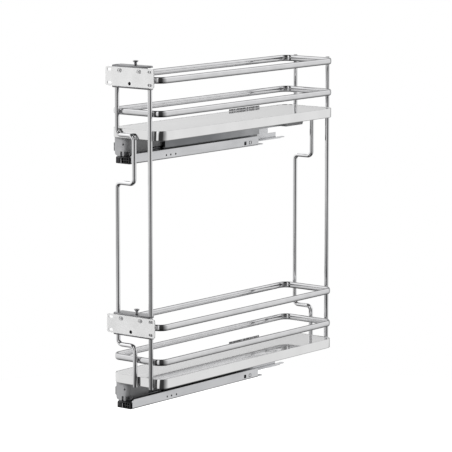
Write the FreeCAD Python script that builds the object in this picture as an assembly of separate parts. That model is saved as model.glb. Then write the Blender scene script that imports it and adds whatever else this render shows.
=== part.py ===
import FreeCAD, Part
import math
import os

# Pull-out bottle rack for a narrow base cabinet, hung on two slides at its left side.
# Bench frame used while modelling, in millimetres:
# x = 0 on the cabinet's side wall, y = 0 on the inner face of the door, z = 0 under the lower slide.
# The stored frame has its origin in the middle of the lower slide's two wall screws.

os.makedirs("parts", exist_ok=True)
Vector = FreeCAD.Vector
along_x = Vector(1, 0, 0)
along_y = Vector(0, 1, 0)
along_z = Vector(0, 0, 1)

# Basket outline
basket_width = 102.0
basket_length = 440.0
basket_corner_radius = 16.0
wall_to_basket = 8.5
door_to_basket = 10.0
basket_pitch = 379.0

# Trays
tray_height = 15.0
pan_wall = 1.2
pan_floor = 1.5
pan_edge_radius = 1.2
board_clearance = 0.1
board_below_rim = 0.5

# Rails
rail_height = 10.0
rail_thickness = 4.5
rail_edge_radius = 2.2
first_rail_above_tray = 25.6
lower_rail_spacing = 53.7
upper_rail_spacing = 50.6

# Posts
post_radius = 3.5
post_inset = 18.5
post_jog = 33.7
post_bend_radius = 8.0
rear_post_over_top_rail = 5.9
front_post_over_top_rail = 14.3
post_under_tray = 1.0
jog_in_above_tray_bottom = 5.7
jog_out_below_tray_bottom = 67.5
low_jog_above_tray_top = 47.2

# Name plates, left blank
name_plate_length = 78.0
name_plate_height = 3.0
name_plate_from_rear = 70.0

# Slide: cabinet profile
slide_height = 40.0
sheet = 1.5
bend_inside = 0.8
profile_front = 18.0
profile_width = 45.0
lip_height = 15.0
lip_length = 314.0
wall_flange_height = 35.0
wall_side_setback = 20.0
wall_flange_length = 416.0
wall_flange_step_length = 21.0
wall_flange_step_height = 9.0
rear_tongue_length = 15.0
rear_tongue_width = 6.0
base_strip_width = 12.0
lip_tongue_length = 15.0
lip_tongue_width = 9.0
lip_front_radius = 6.0
lip_hole_height = 6.2
lip_hole_radius = 1.5
lip_hole_places = (83.5, 94.0, 106.0)
lip_square_from_rear = 34.0
lip_square_width = 5.6
lip_stamping_from_rear = 21.0
lip_stamping_radius = 3.4
lip_stamping_slit = 1.2
lip_stamping_bridge = 2.0
wall_screw_hole_radius = 2.25
wall_screw_height = 29.5
first_wall_screw = 50.0
wall_screw_spacing = 288.0

# Slide: running parts
runner_sheet = 1.3
core_half_width = 5.0
core_height = 18.0
core_front_gap = 18.0
core_rear_gap = 2.0
core_foot = 5.0
track_gap = 3.0
track_radius = 2.0
ball_radius = 1.75
ball_hole_clearance = 0.15
lip_to_runner = 3.2
middle_bottom = 11.3
middle_top = 34.0
middle_front = 106.0
runner_side_bottom = 17.0
runner_rear_side_bottom = 25.0
runner_front = 104.0
runner_deep_length = 236.0
runner_length = 296.0
inner_ball_height = 14.8
outer_ball_height = 29.0
cage_sheet = 0.8
cage_margin = 2.8
ball_pitch = 11.0
inner_cage_front = 140.0
inner_cage_balls = 8
outer_cage_front = 206.0
outer_cage_balls = 8
cage_over_core = 2.0
cage_over_middle = 2.2

# Slide: soft-close unit
damper_front = 203.0
damper_length = 168.0
damper_bottom = 8.0
damper_top = 25.0
damper_wall = 1.2
damper_to_runner = 0.8
damper_cylinder_radius = 3.2
catch_to_cylinder = 6.0
damper_cylinder_height = 13.2
damper_rod_radius = 1.1
damper_cylinder_end = 8.0
rod_end_gap = 12.0
rod_clearance = 0.08
catch_length = 16.0
catch_setback = 48.0
catch_wall = 6.2
catch_wall_height = 5.0
catch_clearance = 0.5
spring_height = 20.8
spring_coil_radius = 2.4
spring_wire_radius = 0.4
spring_turns = 40
spring_end_gap = 0.3
tab_length = 4.0
tab_height = 3.0
tab_reach = 7.1
tab_over_damper = 1.3
tab_to_catch = 0.3

# Slide: front coupling, adjusting wheel, end cap and rear clip
coupler_left = 11.0
coupler_width = 23.5
coupler_front = 18.5
coupler_head_length = 15.5
coupler_skirt_length = 34.5
coupler_skirt_gap = 0.5
coupler_head_bottom = 11.0
coupler_tail_bottom = 20.0
coupler_front_radius = 9.0
coupler_left_radius = 1.5
coupler_bottom_radius = 7.0
coupler_right_bottom_radius = 3.5
coupler_tongue_length = 20.0
coupler_tongue_height = 3.5
key_hole_radius = 1.6
key_hole_depth = 6.0
key_hole_from_right = 6.3
key_hole_below_tray = 11.2
vent_width = 3.5
vent_height = 7.0
vent_depth = 8.0
vent_from_right = 9.9
corner_vent_width = 5.0
corner_vent_length = 10.0
wheel_radius = 9.0
wheel_thickness = 12.0
wheel_bottom = 18.0
wheel_stands_out = 7.0
wheel_behind_front = 10.1
wheel_clearance = 0.3
wheel_pin_radius = 1.2
wheel_pin_length = 2.0
pin_clearance = 0.08
wheel_teeth = 28
wheel_tooth_depth = 0.4
cap_front = 15.0
cap_left = 17.0
cap_to_lip = 0.7
cap_height = 10.5
cap_length = 17.0
cap_pocket = 3.0
cap_pocket_depth = 6.0
cap_low_radius = 1.5
cap_high_radius = 2.5
cap_boss_radius = 3.6
cap_boss_height = 5.0
cap_boss_from_left = 4.6
cap_boss_stands_out = 1.0
cap_wall = 1.8
cap_pocket_pitch_x = 4.4
cap_pocket_pitch_z = 4.2
cap_pocket_above_base = 0.6
clip_from_tray_rear = 7.0
clip_length = 49.0
clip_width = 11.7
clip_height = 15.0
clip_hook = 3.0
clip_edge_radius = 2.0

# Door brackets
plate_width = 95.0
plate_height = 29.0
plate_thickness = 1.5
plate_offset = -2.0
plate_corner_radius = 3.0
door_slot_spacing_x = 80.0
door_slot_spacing_z = 20.0
door_slot_radius = 2.25
door_slot_length = 8.5
side_adjust = 1.5
height_adjust = 2.5
height_adjust_margin = 0.5
lower_bracket_over_rail = 0.2
upper_bracket_over_rail = 3.3
bracket_width = 75.0
bracket_height = 34.5
bracket_depth = 20.5
flange_corner_width = 12.0
flange_corner_depth = 14.0
bracket_sheet = 1.2
bracket_bend_inside = 0.5
bracket_post_clearance = 0.3
bracket_web_cut = 5.5
plate_screw_half_spacing = 19.0
plate_screw_above = 9.3
plate_screw_radius = 1.6
plate_screw_head_radius = 2.9
plate_screw_head = 0.75
plate_pocket = 0.9
plate_screw_clearance = 0.2
plate_screw_nut = 1.4
access_hole_radius = 2.8
access_hole_below = 9.7
access_web_radius = 4.95
clamp_width = 25.0
clamp_depth = 16.2
clamp_to_web = 0.3
clamp_rail_clearance = 0.1
height_screw_radius = 2.5
height_screw_above = 21.7
height_screw_head_radius = 4.35
height_screw_head = 3.0
height_screw_seat = 6.5
height_screw_slot = 1.2
thread_collar_radius = 4.5
thread_collar_length = 2.5
thread_clearance = 0.1

# Screws that hold the slide under the tray
tray_screw_radius = 1.75
tray_screw_head_radius = 3.5
tray_screw_head = 1.5
tray_screw_in_board = 8.0
coupler_screw_before_runner = 20.0
second_screw_behind_tongue = 26.0
last_screw_before_runner_end = 20.0
screw_clearance = 0.05
screw_head_clearance = 0.5

# Places worked out from the sizes above
basket_left = wall_to_basket
basket_right = basket_left + basket_width
basket_front = door_to_basket
basket_rear = basket_front + basket_length
left_post_x = basket_left + post_inset
right_post_x = basket_right - post_inset
jog_post_x = left_post_x + post_jog
posts_middle_x = (left_post_x + right_post_x) / 2
front_post_y = basket_front - post_radius
rear_post_y = basket_rear + post_radius
lower_tray_z = slide_height
upper_tray_z = slide_height + basket_pitch
first_rail_above_bottom = tray_height + first_rail_above_tray
lower_top_rail_z = lower_tray_z + first_rail_above_bottom + lower_rail_spacing
upper_top_rail_z = upper_tray_z + first_rail_above_bottom + upper_rail_spacing
lip_x = profile_width - sheet
lip_rear = profile_front + lip_length
runner_half_width = core_half_width + 2 * track_gap + 2 * runner_sheet
runner_x = lip_x - lip_to_runner - runner_half_width
middle_half_width = core_half_width + track_gap + runner_sheet
inner_track = core_half_width + track_gap / 2
outer_track = middle_half_width + track_gap / 2
runner_left = runner_x - runner_half_width
runner_right = runner_x + runner_half_width
coupler_right = coupler_left + coupler_width
core_front = profile_front + core_front_gap
core_rear = lip_rear - core_rear_gap
wall_screws_middle = first_wall_screw + wall_screw_spacing / 2
plate_x = posts_middle_x + plate_offset
origin = Vector(0, wall_screws_middle, wall_screw_height)


def export(name, shape):
    """Move a finished piece into the stored frame and write it."""
    moved = shape.copy()
    moved.translate(origin.negative())
    moved.exportStep("parts/" + name + ".step")


def box(x0, x1, y0, y1, z0, z1):
    return Part.makeBox(x1 - x0, y1 - y0, z1 - z0, Vector(x0, y0, z0))


def cylinder(x, y, z, direction, radius, length):
    return Part.makeCylinder(radius, length, Vector(x, y, z), direction)


def xy(a, b):
    return Vector(a, b, 0)


def xz(a, b):
    return Vector(a, 0, b)


def yz(a, b):
    return Vector(0, a, b)


def outline(corners, plane):
    """Closed outline through corners given as (a, b, radius), with each corner rounded."""
    count = len(corners)
    arcs = []
    for i in range(count):
        here = plane(corners[i][0], corners[i][1])
        before = plane(corners[i - 1][0], corners[i - 1][1])
        after = plane(corners[(i + 1) % count][0], corners[(i + 1) % count][1])
        radius = corners[i][2]
        into = (here - before).normalize()
        away = (after - here).normalize()
        if radius == 0:
            arcs.append((here, None, here))
            continue
        turn = math.acos(max(-1.0, min(1.0, into.dot(away))))
        trim = radius * math.tan(turn / 2)
        inward = (away - into).normalize()
        middle = here + inward * (radius / math.cos(turn / 2) - radius)
        arcs.append((here - into * trim, middle, here + away * trim))
    edges = []
    for i in range(count):
        start, middle, end = arcs[i]
        if middle is not None:
            edges.append(Part.Arc(start, middle, end).toShape())
        next_start = arcs[(i + 1) % count][0]
        if end.distanceToPoint(next_start) > 1e-6:
            edges.append(Part.makeLine(end, next_start))
    return Part.Face(Part.Wire(edges))


def prism(corners, plane, start, length):
    """Solid with a rounded outline in one plane, drawn out along the third axis."""
    axis = {xy: along_z, xz: along_y, yz: along_x}[plane]
    face = outline(corners, plane)
    face.translate(axis * start)
    return face.extrude(axis * length)


def sharp(points):
    return [(a, b, 0) for a, b in points]


def slot(x, z, radius, length, y, depth):
    """Round-ended slot along x, cut along y from the given y."""
    half = length / 2 - radius
    ends = [cylinder(x + side * half, y, z, along_y, radius, depth) for side in (-1, 1)]
    if half <= 0:
        return ends[0]
    middle = box(x - half, x + half, y, y + depth, z - radius, z + radius)
    return middle.fuse(ends).removeSplitter()


def basket_slab(inset, z0, z1):
    """Slab with the basket's rounded outline, moved in by inset."""
    left = basket_left + inset
    right = basket_right - inset
    front = basket_front + inset
    rear = basket_rear - inset
    radius = basket_corner_radius - inset
    corners = [(left, front, radius), (right, front, radius), (right, rear, radius), (left, rear, radius)]
    return prism(corners, xy, z0, z1 - z0)


def inverted_channel(middle_x, half_width, bottom, top, thickness, front, rear):
    """Channel open downwards, with its two bends rounded."""
    left = middle_x - half_width
    right = middle_x + half_width
    outer = thickness + bend_inside
    corners = [
        (left, bottom, 0),
        (left, top, outer),
        (right, top, outer),
        (right, bottom, 0),
        (right - thickness, bottom, 0),
        (right - thickness, top - thickness, bend_inside),
        (left + thickness, top - thickness, bend_inside),
        (left + thickness, bottom, 0),
    ]
    return prism(corners, xz, front, rear - front)


def round_wire(points, bend, radius):
    """Round wire through the points, with right-angled bends."""
    edges = []
    last = points[0]
    for i in range(1, len(points) - 1):
        corner = points[i]
        into = (corner - points[i - 1]).normalize()
        away = (points[i + 1] - corner).normalize()
        start = corner - into * bend
        end = corner + away * bend
        middle = start + away * bend + (into - away) * (bend / math.sqrt(2))
        edges.append(Part.makeLine(last, start))
        edges.append(Part.Arc(start, middle, end).toShape())
        last = end
    edges.append(Part.makeLine(last, points[-1]))
    path = Part.Wire(edges)
    direction = (points[1] - points[0]).normalize()
    ring = Part.Wire([Part.makeCircle(radius, points[0], direction)])
    return path.makePipeShell([ring], True, False)


def arc_from_tangent(start, tangent, end):
    """Arc that leaves start along tangent and arrives at end."""
    chord = end - start
    half = chord.Length / 2
    along = Vector(chord).normalize()
    sideways = tangent - along * tangent.dot(along)
    angle = math.atan2(sideways.Length, tangent.dot(along))
    middle = start + along * half + sideways.normalize() * (half * math.tan(angle / 2))
    return Part.Arc(start, middle, end).toShape()


def coil_spring(x, z, coil_radius, wire_radius, front, rear, turns):
    """Coil along y, made of two arcs for each quarter turn."""
    pitch = (rear - front - 2 * wire_radius) / turns
    rise = pitch / (2 * math.pi)

    def place(angle):
        y = front + wire_radius + rise * angle
        return Vector(x + coil_radius * math.cos(angle), y, z + coil_radius * math.sin(angle))

    def heading(angle):
        return Vector(-coil_radius * math.sin(angle), rise, coil_radius * math.cos(angle)).normalize()

    edges = []
    for i in range(4 * turns):
        a = i * math.pi / 2
        b = a + math.pi / 2
        gap = place(b) - place(a)
        both = heading(a) + heading(b)
        square = 2 * (heading(a).dot(heading(b)) - 1)
        linear = -2 * gap.dot(both)
        rest = gap.dot(gap)
        reach = (-linear - math.sqrt(linear * linear - 4 * square * rest)) / (2 * square)
        joint = (place(a) + heading(a) * reach + place(b) - heading(b) * reach) * 0.5
        edges.append(arc_from_tangent(place(a), heading(a), joint))
        middle_heading = (place(b) - heading(b) * reach - joint).normalize()
        edges.append(arc_from_tangent(joint, middle_heading, place(b)))
    ring = Part.Wire([Part.makeCircle(wire_radius, place(0), heading(0))])
    least_gap = pitch - 2 * wire_radius
    print("spring least gap", round(least_gap, 2), "mm")
    return Part.Wire(edges).makePipeShell([ring], True, False)


# Baskets

def build_basket(name, tray_z, top_rail_z, screw_places):
    rim_z = tray_z + tray_height
    pan = basket_slab(0, tray_z, rim_z)
    low_edges = [edge for edge in pan.Edges if edge.BoundBox.ZMax < tray_z + 0.001]
    pan = pan.makeFillet(pan_edge_radius, low_edges)
    pan = pan.cut(basket_slab(pan_wall, tray_z + pan_floor, rim_z))
    board = basket_slab(pan_wall + board_clearance, tray_z + pan_floor, rim_z - board_below_rim)
    for x, y in screw_places:
        hole = tray_screw_radius + screw_clearance
        pan = pan.cut(cylinder(x, y, tray_z, along_z, hole, pan_floor))
        board = board.cut(cylinder(x, y, tray_z, along_z, hole, pan_floor + tray_screw_in_board))
    export(name + "_tray_pan", pan)
    export(name + "_tray_board", board)
    for title, middle in (("low", tray_z + first_rail_above_bottom), ("top", top_rail_z)):
        bottom = middle - rail_height / 2
        ring = basket_slab(0, bottom, bottom + rail_height)
        ring = ring.cut(basket_slab(rail_thickness, bottom, bottom + rail_height))
        level_edges = [edge for edge in ring.Edges if edge.BoundBox.ZLength < 0.001]
        export(name + "_" + title + "_rail", ring.makeFillet(rail_edge_radius, level_edges))


def build_name_plates():
    plates = []
    left = basket_left
    rear = basket_rear - name_plate_from_rear
    for tray_z in (lower_tray_z, upper_tray_z):
        # Stands on the rim of the pan and is as thick as its wall
        bottom = tray_z + tray_height
        plates.append(box(left, left + pan_wall, rear - name_plate_length, rear,
                          bottom, bottom + name_plate_height))
    export("name_plates", Part.makeCompound(plates))


def build_posts():
    bottom = lower_tray_z - post_under_tray
    jog_in = upper_tray_z + jog_in_above_tray_bottom
    jog_out = upper_tray_z - jog_out_below_tray_bottom
    low_jog = lower_tray_z + tray_height + low_jog_above_tray_top
    for name, y, over_rail in (("front", front_post_y, front_post_over_top_rail),
                               ("rear", rear_post_y, rear_post_over_top_rail)):
        top = upper_top_rail_z + over_rail
        straight = cylinder(right_post_x, y, bottom, along_z, post_radius, top - bottom)
        export(name + "_right_post", straight)
        points = [
            Vector(left_post_x, y, top),
            Vector(left_post_x, y, jog_in),
            Vector(jog_post_x, y, jog_in),
            Vector(jog_post_x, y, jog_out),
            Vector(left_post_x, y, jog_out),
            Vector(left_post_x, y, low_jog),
            Vector(jog_post_x, y, low_jog),
            Vector(jog_post_x, y, bottom),
        ]
        export(name + "_left_post", round_wire(points, post_bend_radius, post_radius))


# Slides

def ball_places(front, count, half_gap, height):
    places = []
    for side in (-1, 1):
        for i in range(count):
            y = front + cage_margin + ball_radius + i * ball_pitch
            places.append((runner_x + side * half_gap, y, height))
    return places


def cage_length(count):
    return (count - 1) * ball_pitch + 2 * (cage_margin + ball_radius)


def tracks(half_gap, height, front, rear):
    return [cylinder(runner_x + side * half_gap, front, height, along_y, track_radius, rear - front)
            for side in (-1, 1)]


def cabinet_profile(z):
    outer = sheet + bend_inside
    corners = [
        (0, z + wall_flange_height, 0),
        (0, z, outer),
        (profile_width, z, outer),
        (profile_width, z + lip_height, 0),
        (lip_x, z + lip_height, 0),
        (lip_x, z + sheet, bend_inside),
        (sheet, z + sheet, bend_inside),
        (sheet, z + wall_flange_height, 0),
    ]
    shape = prism(corners, xz, profile_front, wall_flange_length)
    # The wall side starts a little further back than the lip side
    shape = shape.cut(box(0, cap_left, profile_front, profile_front + wall_side_setback,
                          z, z + wall_flange_height))
    flange_rear = profile_front + wall_flange_length
    # Behind the lip only a strip of the base stays, and the lip ends in a short tongue
    rest = box(base_strip_width, profile_width, lip_rear, flange_rear, z, z + lip_height)
    tongue = box(profile_width - lip_tongue_width, profile_width - outer, lip_rear,
                 lip_rear + lip_tongue_length, z, z + sheet)
    shape = shape.cut(rest.cut(tongue))
    step_front = flange_rear - wall_flange_step_length
    shape = shape.cut(box(0, sheet, step_front, flange_rear,
                          z + wall_flange_step_height, z + wall_flange_height))
    tail = box(outer, outer + rear_tongue_width, flange_rear, flange_rear + rear_tongue_length, z, z + sheet)
    shape = shape.fuse(tail).removeSplitter()
    # Rounded front end of the lip
    r = lip_front_radius
    top = z + lip_height
    nose = box(lip_x, profile_width, profile_front, profile_front + r, top - r, top)
    nose = nose.cut(cylinder(lip_x, profile_front + r, top - r, along_x, r, sheet))
    shape = shape.cut(nose)
    for i in range(2):
        y = first_wall_screw + i * wall_screw_spacing
        shape = shape.cut(cylinder(0, y, z + wall_screw_height, along_x, wall_screw_hole_radius, sheet))
    middle = z + lip_hole_height
    for from_front in lip_hole_places:
        y = profile_front + from_front
        shape = shape.cut(cylinder(lip_x, y, middle, along_x, lip_hole_radius, sheet))
    y = lip_rear - lip_square_from_rear
    half = lip_square_width / 2
    shape = shape.cut(box(lip_x, profile_width, y - half, y + half, middle - half, middle + half))
    y = lip_rear - lip_stamping_from_rear
    stamping = cylinder(lip_x, y, middle, along_x, lip_stamping_radius, sheet)
    rest_of_disc = cylinder(lip_x, y, middle, along_x, lip_stamping_radius - lip_stamping_slit, sheet)
    bridge = box(lip_x, profile_width, y - lip_stamping_bridge / 2, y + lip_stamping_bridge / 2,
                 middle - lip_stamping_radius, middle + lip_stamping_radius)
    shape = shape.cut(stamping.cut([rest_of_disc, bridge]))
    return shape


def cabinet_rail(z):
    """Hat-shaped rail on the base, with a ball track in each side."""
    left = runner_x - core_half_width
    right = runner_x + core_half_width
    low = z + sheet
    corners = sharp([
        (left - core_foot, low),
        (left - core_foot, low + sheet),
        (left, low + sheet),
        (left, z + core_height),
        (right, z + core_height),
        (right, low + sheet),
        (right + core_foot, low + sheet),
        (right + core_foot, low),
        (right - sheet, low),
        (right - sheet, z + core_height - sheet),
        (left + sheet, z + core_height - sheet),
        (left + sheet, low),
    ])
    rail = prism(corners, xz, core_front, core_rear - core_front)
    return rail.cut(tracks(inner_track, z + inner_ball_height, core_front, core_rear))


def middle_profile(z):
    rear = core_rear
    shape = inverted_channel(runner_x, middle_half_width, z + middle_bottom, z + middle_top,
                             runner_sheet, middle_front, rear)
    shape = shape.cut(tracks(inner_track, z + inner_ball_height, middle_front, rear))
    return shape.cut(tracks(outer_track, z + outer_ball_height, middle_front, rear))


def drawer_profile(z, screw_places):
    rear = runner_front + runner_length
    tray_z = z + slide_height
    shape = inverted_channel(runner_x, runner_half_width, z + runner_side_bottom, tray_z,
                             runner_sheet, runner_front, rear)
    shape = shape.cut(tracks(outer_track, z + outer_ball_height, runner_front, rear))
    deep_rear = runner_front + runner_deep_length
    shape = shape.cut(box(runner_left, runner_right, deep_rear, rear,
                          z + runner_side_bottom, z + runner_rear_side_bottom))
    # Tab that meets the soft-close catch
    catch_face = damper_front + catch_setback + catch_length - catch_wall
    tab_rear = catch_face - tab_to_catch
    tab_z = z + damper_top + tab_over_damper
    tab = box(runner_left - tab_reach, runner_left + runner_sheet / 2, tab_rear - tab_length, tab_rear,
              tab_z, tab_z + tab_height)
    shape = shape.fuse(tab).removeSplitter()
    for x, y in screw_places:
        if y > runner_front:
            hole = tray_screw_radius + screw_clearance
            shape = shape.cut(cylinder(x, y, tray_z - runner_sheet, along_z, hole, runner_sheet))
    return shape


def ball_cage(z, half_gap, low, high, front, count, height):
    half_width = half_gap + cage_sheet / 2
    rear = front + cage_length(count)
    cage = inverted_channel(runner_x, half_width, z + low, z + high, cage_sheet, front, rear)
    for x, y, ball_z in ball_places(front, count, half_gap, z + height):
        hole = cylinder(x - cage_sheet, y, ball_z, along_x, ball_radius + ball_hole_clearance, 2 * cage_sheet)
        cage = cage.cut(hole)
    return cage


def ball_set(z, half_gap, front, count, height):
    balls = [Part.makeSphere(ball_radius, Vector(x, y, ball_z))
             for x, y, ball_z in ball_places(front, count, half_gap, z + height)]
    return Part.makeCompound(balls)


def soft_close_unit(name, z):
    """Trough on the wall flange with the damper, the catch and the closing spring."""
    left = sheet
    right = runner_left - damper_to_runner
    rear = damper_front + damper_length
    middle = (left + right) / 2
    trough = box(left, right, damper_front, rear, z + damper_bottom, z + damper_top)
    hollow = box(left + damper_wall, right - damper_wall, damper_front + damper_wall, rear - damper_wall,
                 z + damper_bottom + damper_wall, z + damper_top)
    export(name + "_damper_housing", trough.cut(hollow))
    axis_z = z + damper_cylinder_height
    catch_front = damper_front + catch_setback
    catch_rear = catch_front + catch_length
    cylinder_rear = rear - damper_wall
    cylinder_front = catch_rear + catch_to_cylinder
    cylinder_length = cylinder_rear - cylinder_front
    body = cylinder(middle, cylinder_front, axis_z, along_y, damper_cylinder_radius, cylinder_length)
    bore_length = cylinder_length - damper_cylinder_end
    body = body.cut(cylinder(middle, cylinder_front, axis_z, along_y,
                             damper_rod_radius + rod_clearance, bore_length))
    export(name + "_damper_cylinder", body)
    rod_length = catch_to_cylinder + bore_length - rod_end_gap
    export(name + "_damper_rod", cylinder(middle, catch_rear, axis_z, along_y, damper_rod_radius, rod_length))
    gap = catch_clearance
    top = z + damper_top + tab_over_damper - gap
    catch = box(left + damper_wall + gap, right - damper_wall - gap, catch_front, catch_rear,
                z + damper_bottom + damper_wall, top)
    wall = box(left + damper_wall + gap, right - damper_wall - gap, catch_rear - catch_wall, catch_rear,
               top, top + catch_wall_height)
    export(name + "_closing_catch", catch.fuse(wall).removeSplitter())
    spring = coil_spring(middle, z + spring_height, spring_coil_radius, spring_wire_radius,
                         catch_rear + spring_end_gap, cylinder_rear - spring_end_gap, spring_turns)
    export(name + "_closing_spring", spring)


def front_coupler(z, screw_places):
    """Plastic coupling between the drawer profile and the tray, rounded at its front right edge."""
    tray_z = z + slide_height
    front = coupler_front
    plan = [
        (coupler_left, front, coupler_left_radius),
        (coupler_right, front, coupler_front_radius),
        (coupler_right, runner_front, 0),
        (coupler_left, runner_front, 0),
    ]
    body = prism(plan, xy, z + coupler_head_bottom, slide_height - coupler_head_bottom)
    elevation = [
        (coupler_left, tray_z, 0),
        (coupler_left, z + coupler_head_bottom, coupler_bottom_radius),
        (coupler_right, z + coupler_head_bottom, coupler_right_bottom_radius),
        (coupler_right, tray_z, 0),
    ]
    body = body.common(prism(elevation, xz, front, runner_front - front))
    # Behind the head the underside is higher, with a thin skirt on each side for a short way
    head_rear = front + coupler_head_length
    skirt_rear = head_rear + coupler_skirt_length
    skirt_left = runner_x + core_half_width + coupler_skirt_gap
    skirt = coupler_right - skirt_left
    body = body.cut(box(coupler_left + skirt, skirt_left, head_rear, runner_front,
                        z + coupler_head_bottom, z + coupler_tail_bottom))
    body = body.cut(box(coupler_left, coupler_right, skirt_rear, runner_front,
                        z + coupler_head_bottom, z + coupler_tail_bottom))
    tongue_top = tray_z - runner_sheet
    half = core_half_width
    tongue = box(runner_x - half, coupler_right, runner_front - 1, runner_front + coupler_tongue_length,
                 tongue_top - coupler_tongue_height, tongue_top)
    body = body.fuse(tongue).removeSplitter()
    wheel_x = coupler_left - wheel_stands_out + wheel_radius
    wheel_y = front + wheel_behind_front
    pocket = wheel_radius + wheel_clearance
    body = body.cut(cylinder(wheel_x, wheel_y, z + wheel_bottom - wheel_clearance, along_z,
                             pocket, wheel_thickness + 2 * wheel_clearance))
    bore = wheel_pin_length + wheel_clearance
    body = body.cut(cylinder(wheel_x, wheel_y, z + wheel_bottom - bore, along_z,
                             wheel_pin_radius + pin_clearance, wheel_thickness + 2 * bore))
    body = body.cut(cylinder(coupler_right - key_hole_from_right, front, tray_z - key_hole_below_tray,
                             along_y, key_hole_radius, key_hole_depth))
    low = z + coupler_head_bottom
    high = low + vent_height
    x = coupler_right - vent_from_right
    body = body.cut(box(x - vent_width / 2, x + vent_width / 2, front, front + vent_depth, low, high))
    body = body.cut(box(coupler_right - corner_vent_width, coupler_right, front, front + corner_vent_length,
                        low, high))
    for x, y in screw_places:
        hole = tray_screw_radius + screw_clearance
        head_hole = tray_screw_head_radius + screw_head_clearance
        if y < runner_front:
            body = body.cut(cylinder(x, y, z, along_z, hole, slide_height))
            body = body.cut(cylinder(x, y, z, along_z, head_hole, slide_height - runner_sheet))
    return body


def adjusting_wheel(z):
    x = coupler_left - wheel_stands_out + wheel_radius
    y = coupler_front + wheel_behind_front
    wheel = cylinder(x, y, z + wheel_bottom, along_z, wheel_radius, wheel_thickness)
    for i in range(wheel_teeth):
        angle = 2 * math.pi * i / wheel_teeth
        tooth_x = x + wheel_radius * math.cos(angle)
        tooth_y = y + wheel_radius * math.sin(angle)
        wheel = wheel.cut(cylinder(tooth_x, tooth_y, z + wheel_bottom, along_z,
                                   wheel_tooth_depth, wheel_thickness))
    pin = cylinder(x, y, z + wheel_bottom - wheel_pin_length, along_z, wheel_pin_radius,
                   wheel_thickness + 2 * wheel_pin_length)
    return wheel.fuse(pin).removeSplitter()


def end_cap(z):
    right = lip_x - cap_to_lip
    side = [
        (cap_front, z, cap_low_radius),
        (cap_front, z + cap_height, cap_high_radius),
        (cap_front + cap_length, z + cap_height, 0),
        (cap_front + cap_length, z + sheet, 0),
        (profile_front, z + sheet, 0),
        (profile_front, z, 0),
    ]
    cap = prism(side, yz, cap_left, right - cap_left)
    for column in range(3):
        for row in range(2):
            x = right - cap_wall - cap_pocket - column * cap_pocket_pitch_x
            low = z + sheet + cap_pocket_above_base + row * cap_pocket_pitch_z
            cap = cap.cut(box(x, x + cap_pocket, cap_front, cap_front + cap_pocket_depth,
                              low, low + cap_pocket))
    boss = cylinder(cap_left + cap_boss_from_left, cap_front - cap_boss_stands_out, z + cap_boss_height,
                    along_y, cap_boss_radius, 2 * cap_boss_stands_out)
    return cap.fuse(boss).removeSplitter()


def rear_clip(z):
    top = z + slide_height
    left = runner_right
    right = left + clip_width
    rear = basket_rear - clip_from_tray_rear
    front = rear - clip_length
    corners = [
        (front, top, 0),
        (rear, top, 0),
        (rear, top - clip_height / 2, 0),
        (rear - clip_hook, top - clip_height, clip_edge_radius),
        (front, top - clip_height, clip_edge_radius),
    ]
    return prism(corners, yz, left, right - left)


def build_slide(name, z, screw_places):
    export(name + "_cabinet_profile", cabinet_profile(z))
    export(name + "_cabinet_rail", cabinet_rail(z))
    export(name + "_middle_profile", middle_profile(z))
    export(name + "_drawer_profile", drawer_profile(z, screw_places))
    inner_high = core_height + cage_over_core + cage_sheet
    outer_high = middle_top + cage_over_middle + cage_sheet
    inner_low = inner_ball_height - cage_margin
    outer_low = outer_ball_height - cage_margin
    export(name + "_inner_cage", ball_cage(z, inner_track, inner_low, inner_high,
                                           inner_cage_front, inner_cage_balls, inner_ball_height))
    export(name + "_inner_balls", ball_set(z, inner_track, inner_cage_front,
                                           inner_cage_balls, inner_ball_height))
    export(name + "_outer_cage", ball_cage(z, outer_track, outer_low, outer_high,
                                           outer_cage_front, outer_cage_balls, outer_ball_height))
    export(name + "_outer_balls", ball_set(z, outer_track, outer_cage_front,
                                           outer_cage_balls, outer_ball_height))
    soft_close_unit(name, z)
    export(name + "_front_coupler", front_coupler(z, screw_places))
    export(name + "_adjusting_wheel", adjusting_wheel(z))
    export(name + "_end_cap", end_cap(z))
    export(name + "_rear_clip", rear_clip(z))


def tray_screws(screw_places):
    screws = []
    for tray_z in (lower_tray_z, upper_tray_z):
        for x, y in screw_places:
            seat = tray_z - runner_sheet
            if runner_front < y < runner_front + coupler_tongue_length:
                seat = seat - coupler_tongue_height
            head = cylinder(x, y, seat - tray_screw_head, along_z, tray_screw_head_radius, tray_screw_head)
            top = tray_z + pan_floor + tray_screw_in_board
            shank = cylinder(x, y, seat, along_z, tray_screw_radius, top - seat)
            screws.append(head.fuse(shank).removeSplitter())
    return Part.makeCompound(screws)


# Door brackets

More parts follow.
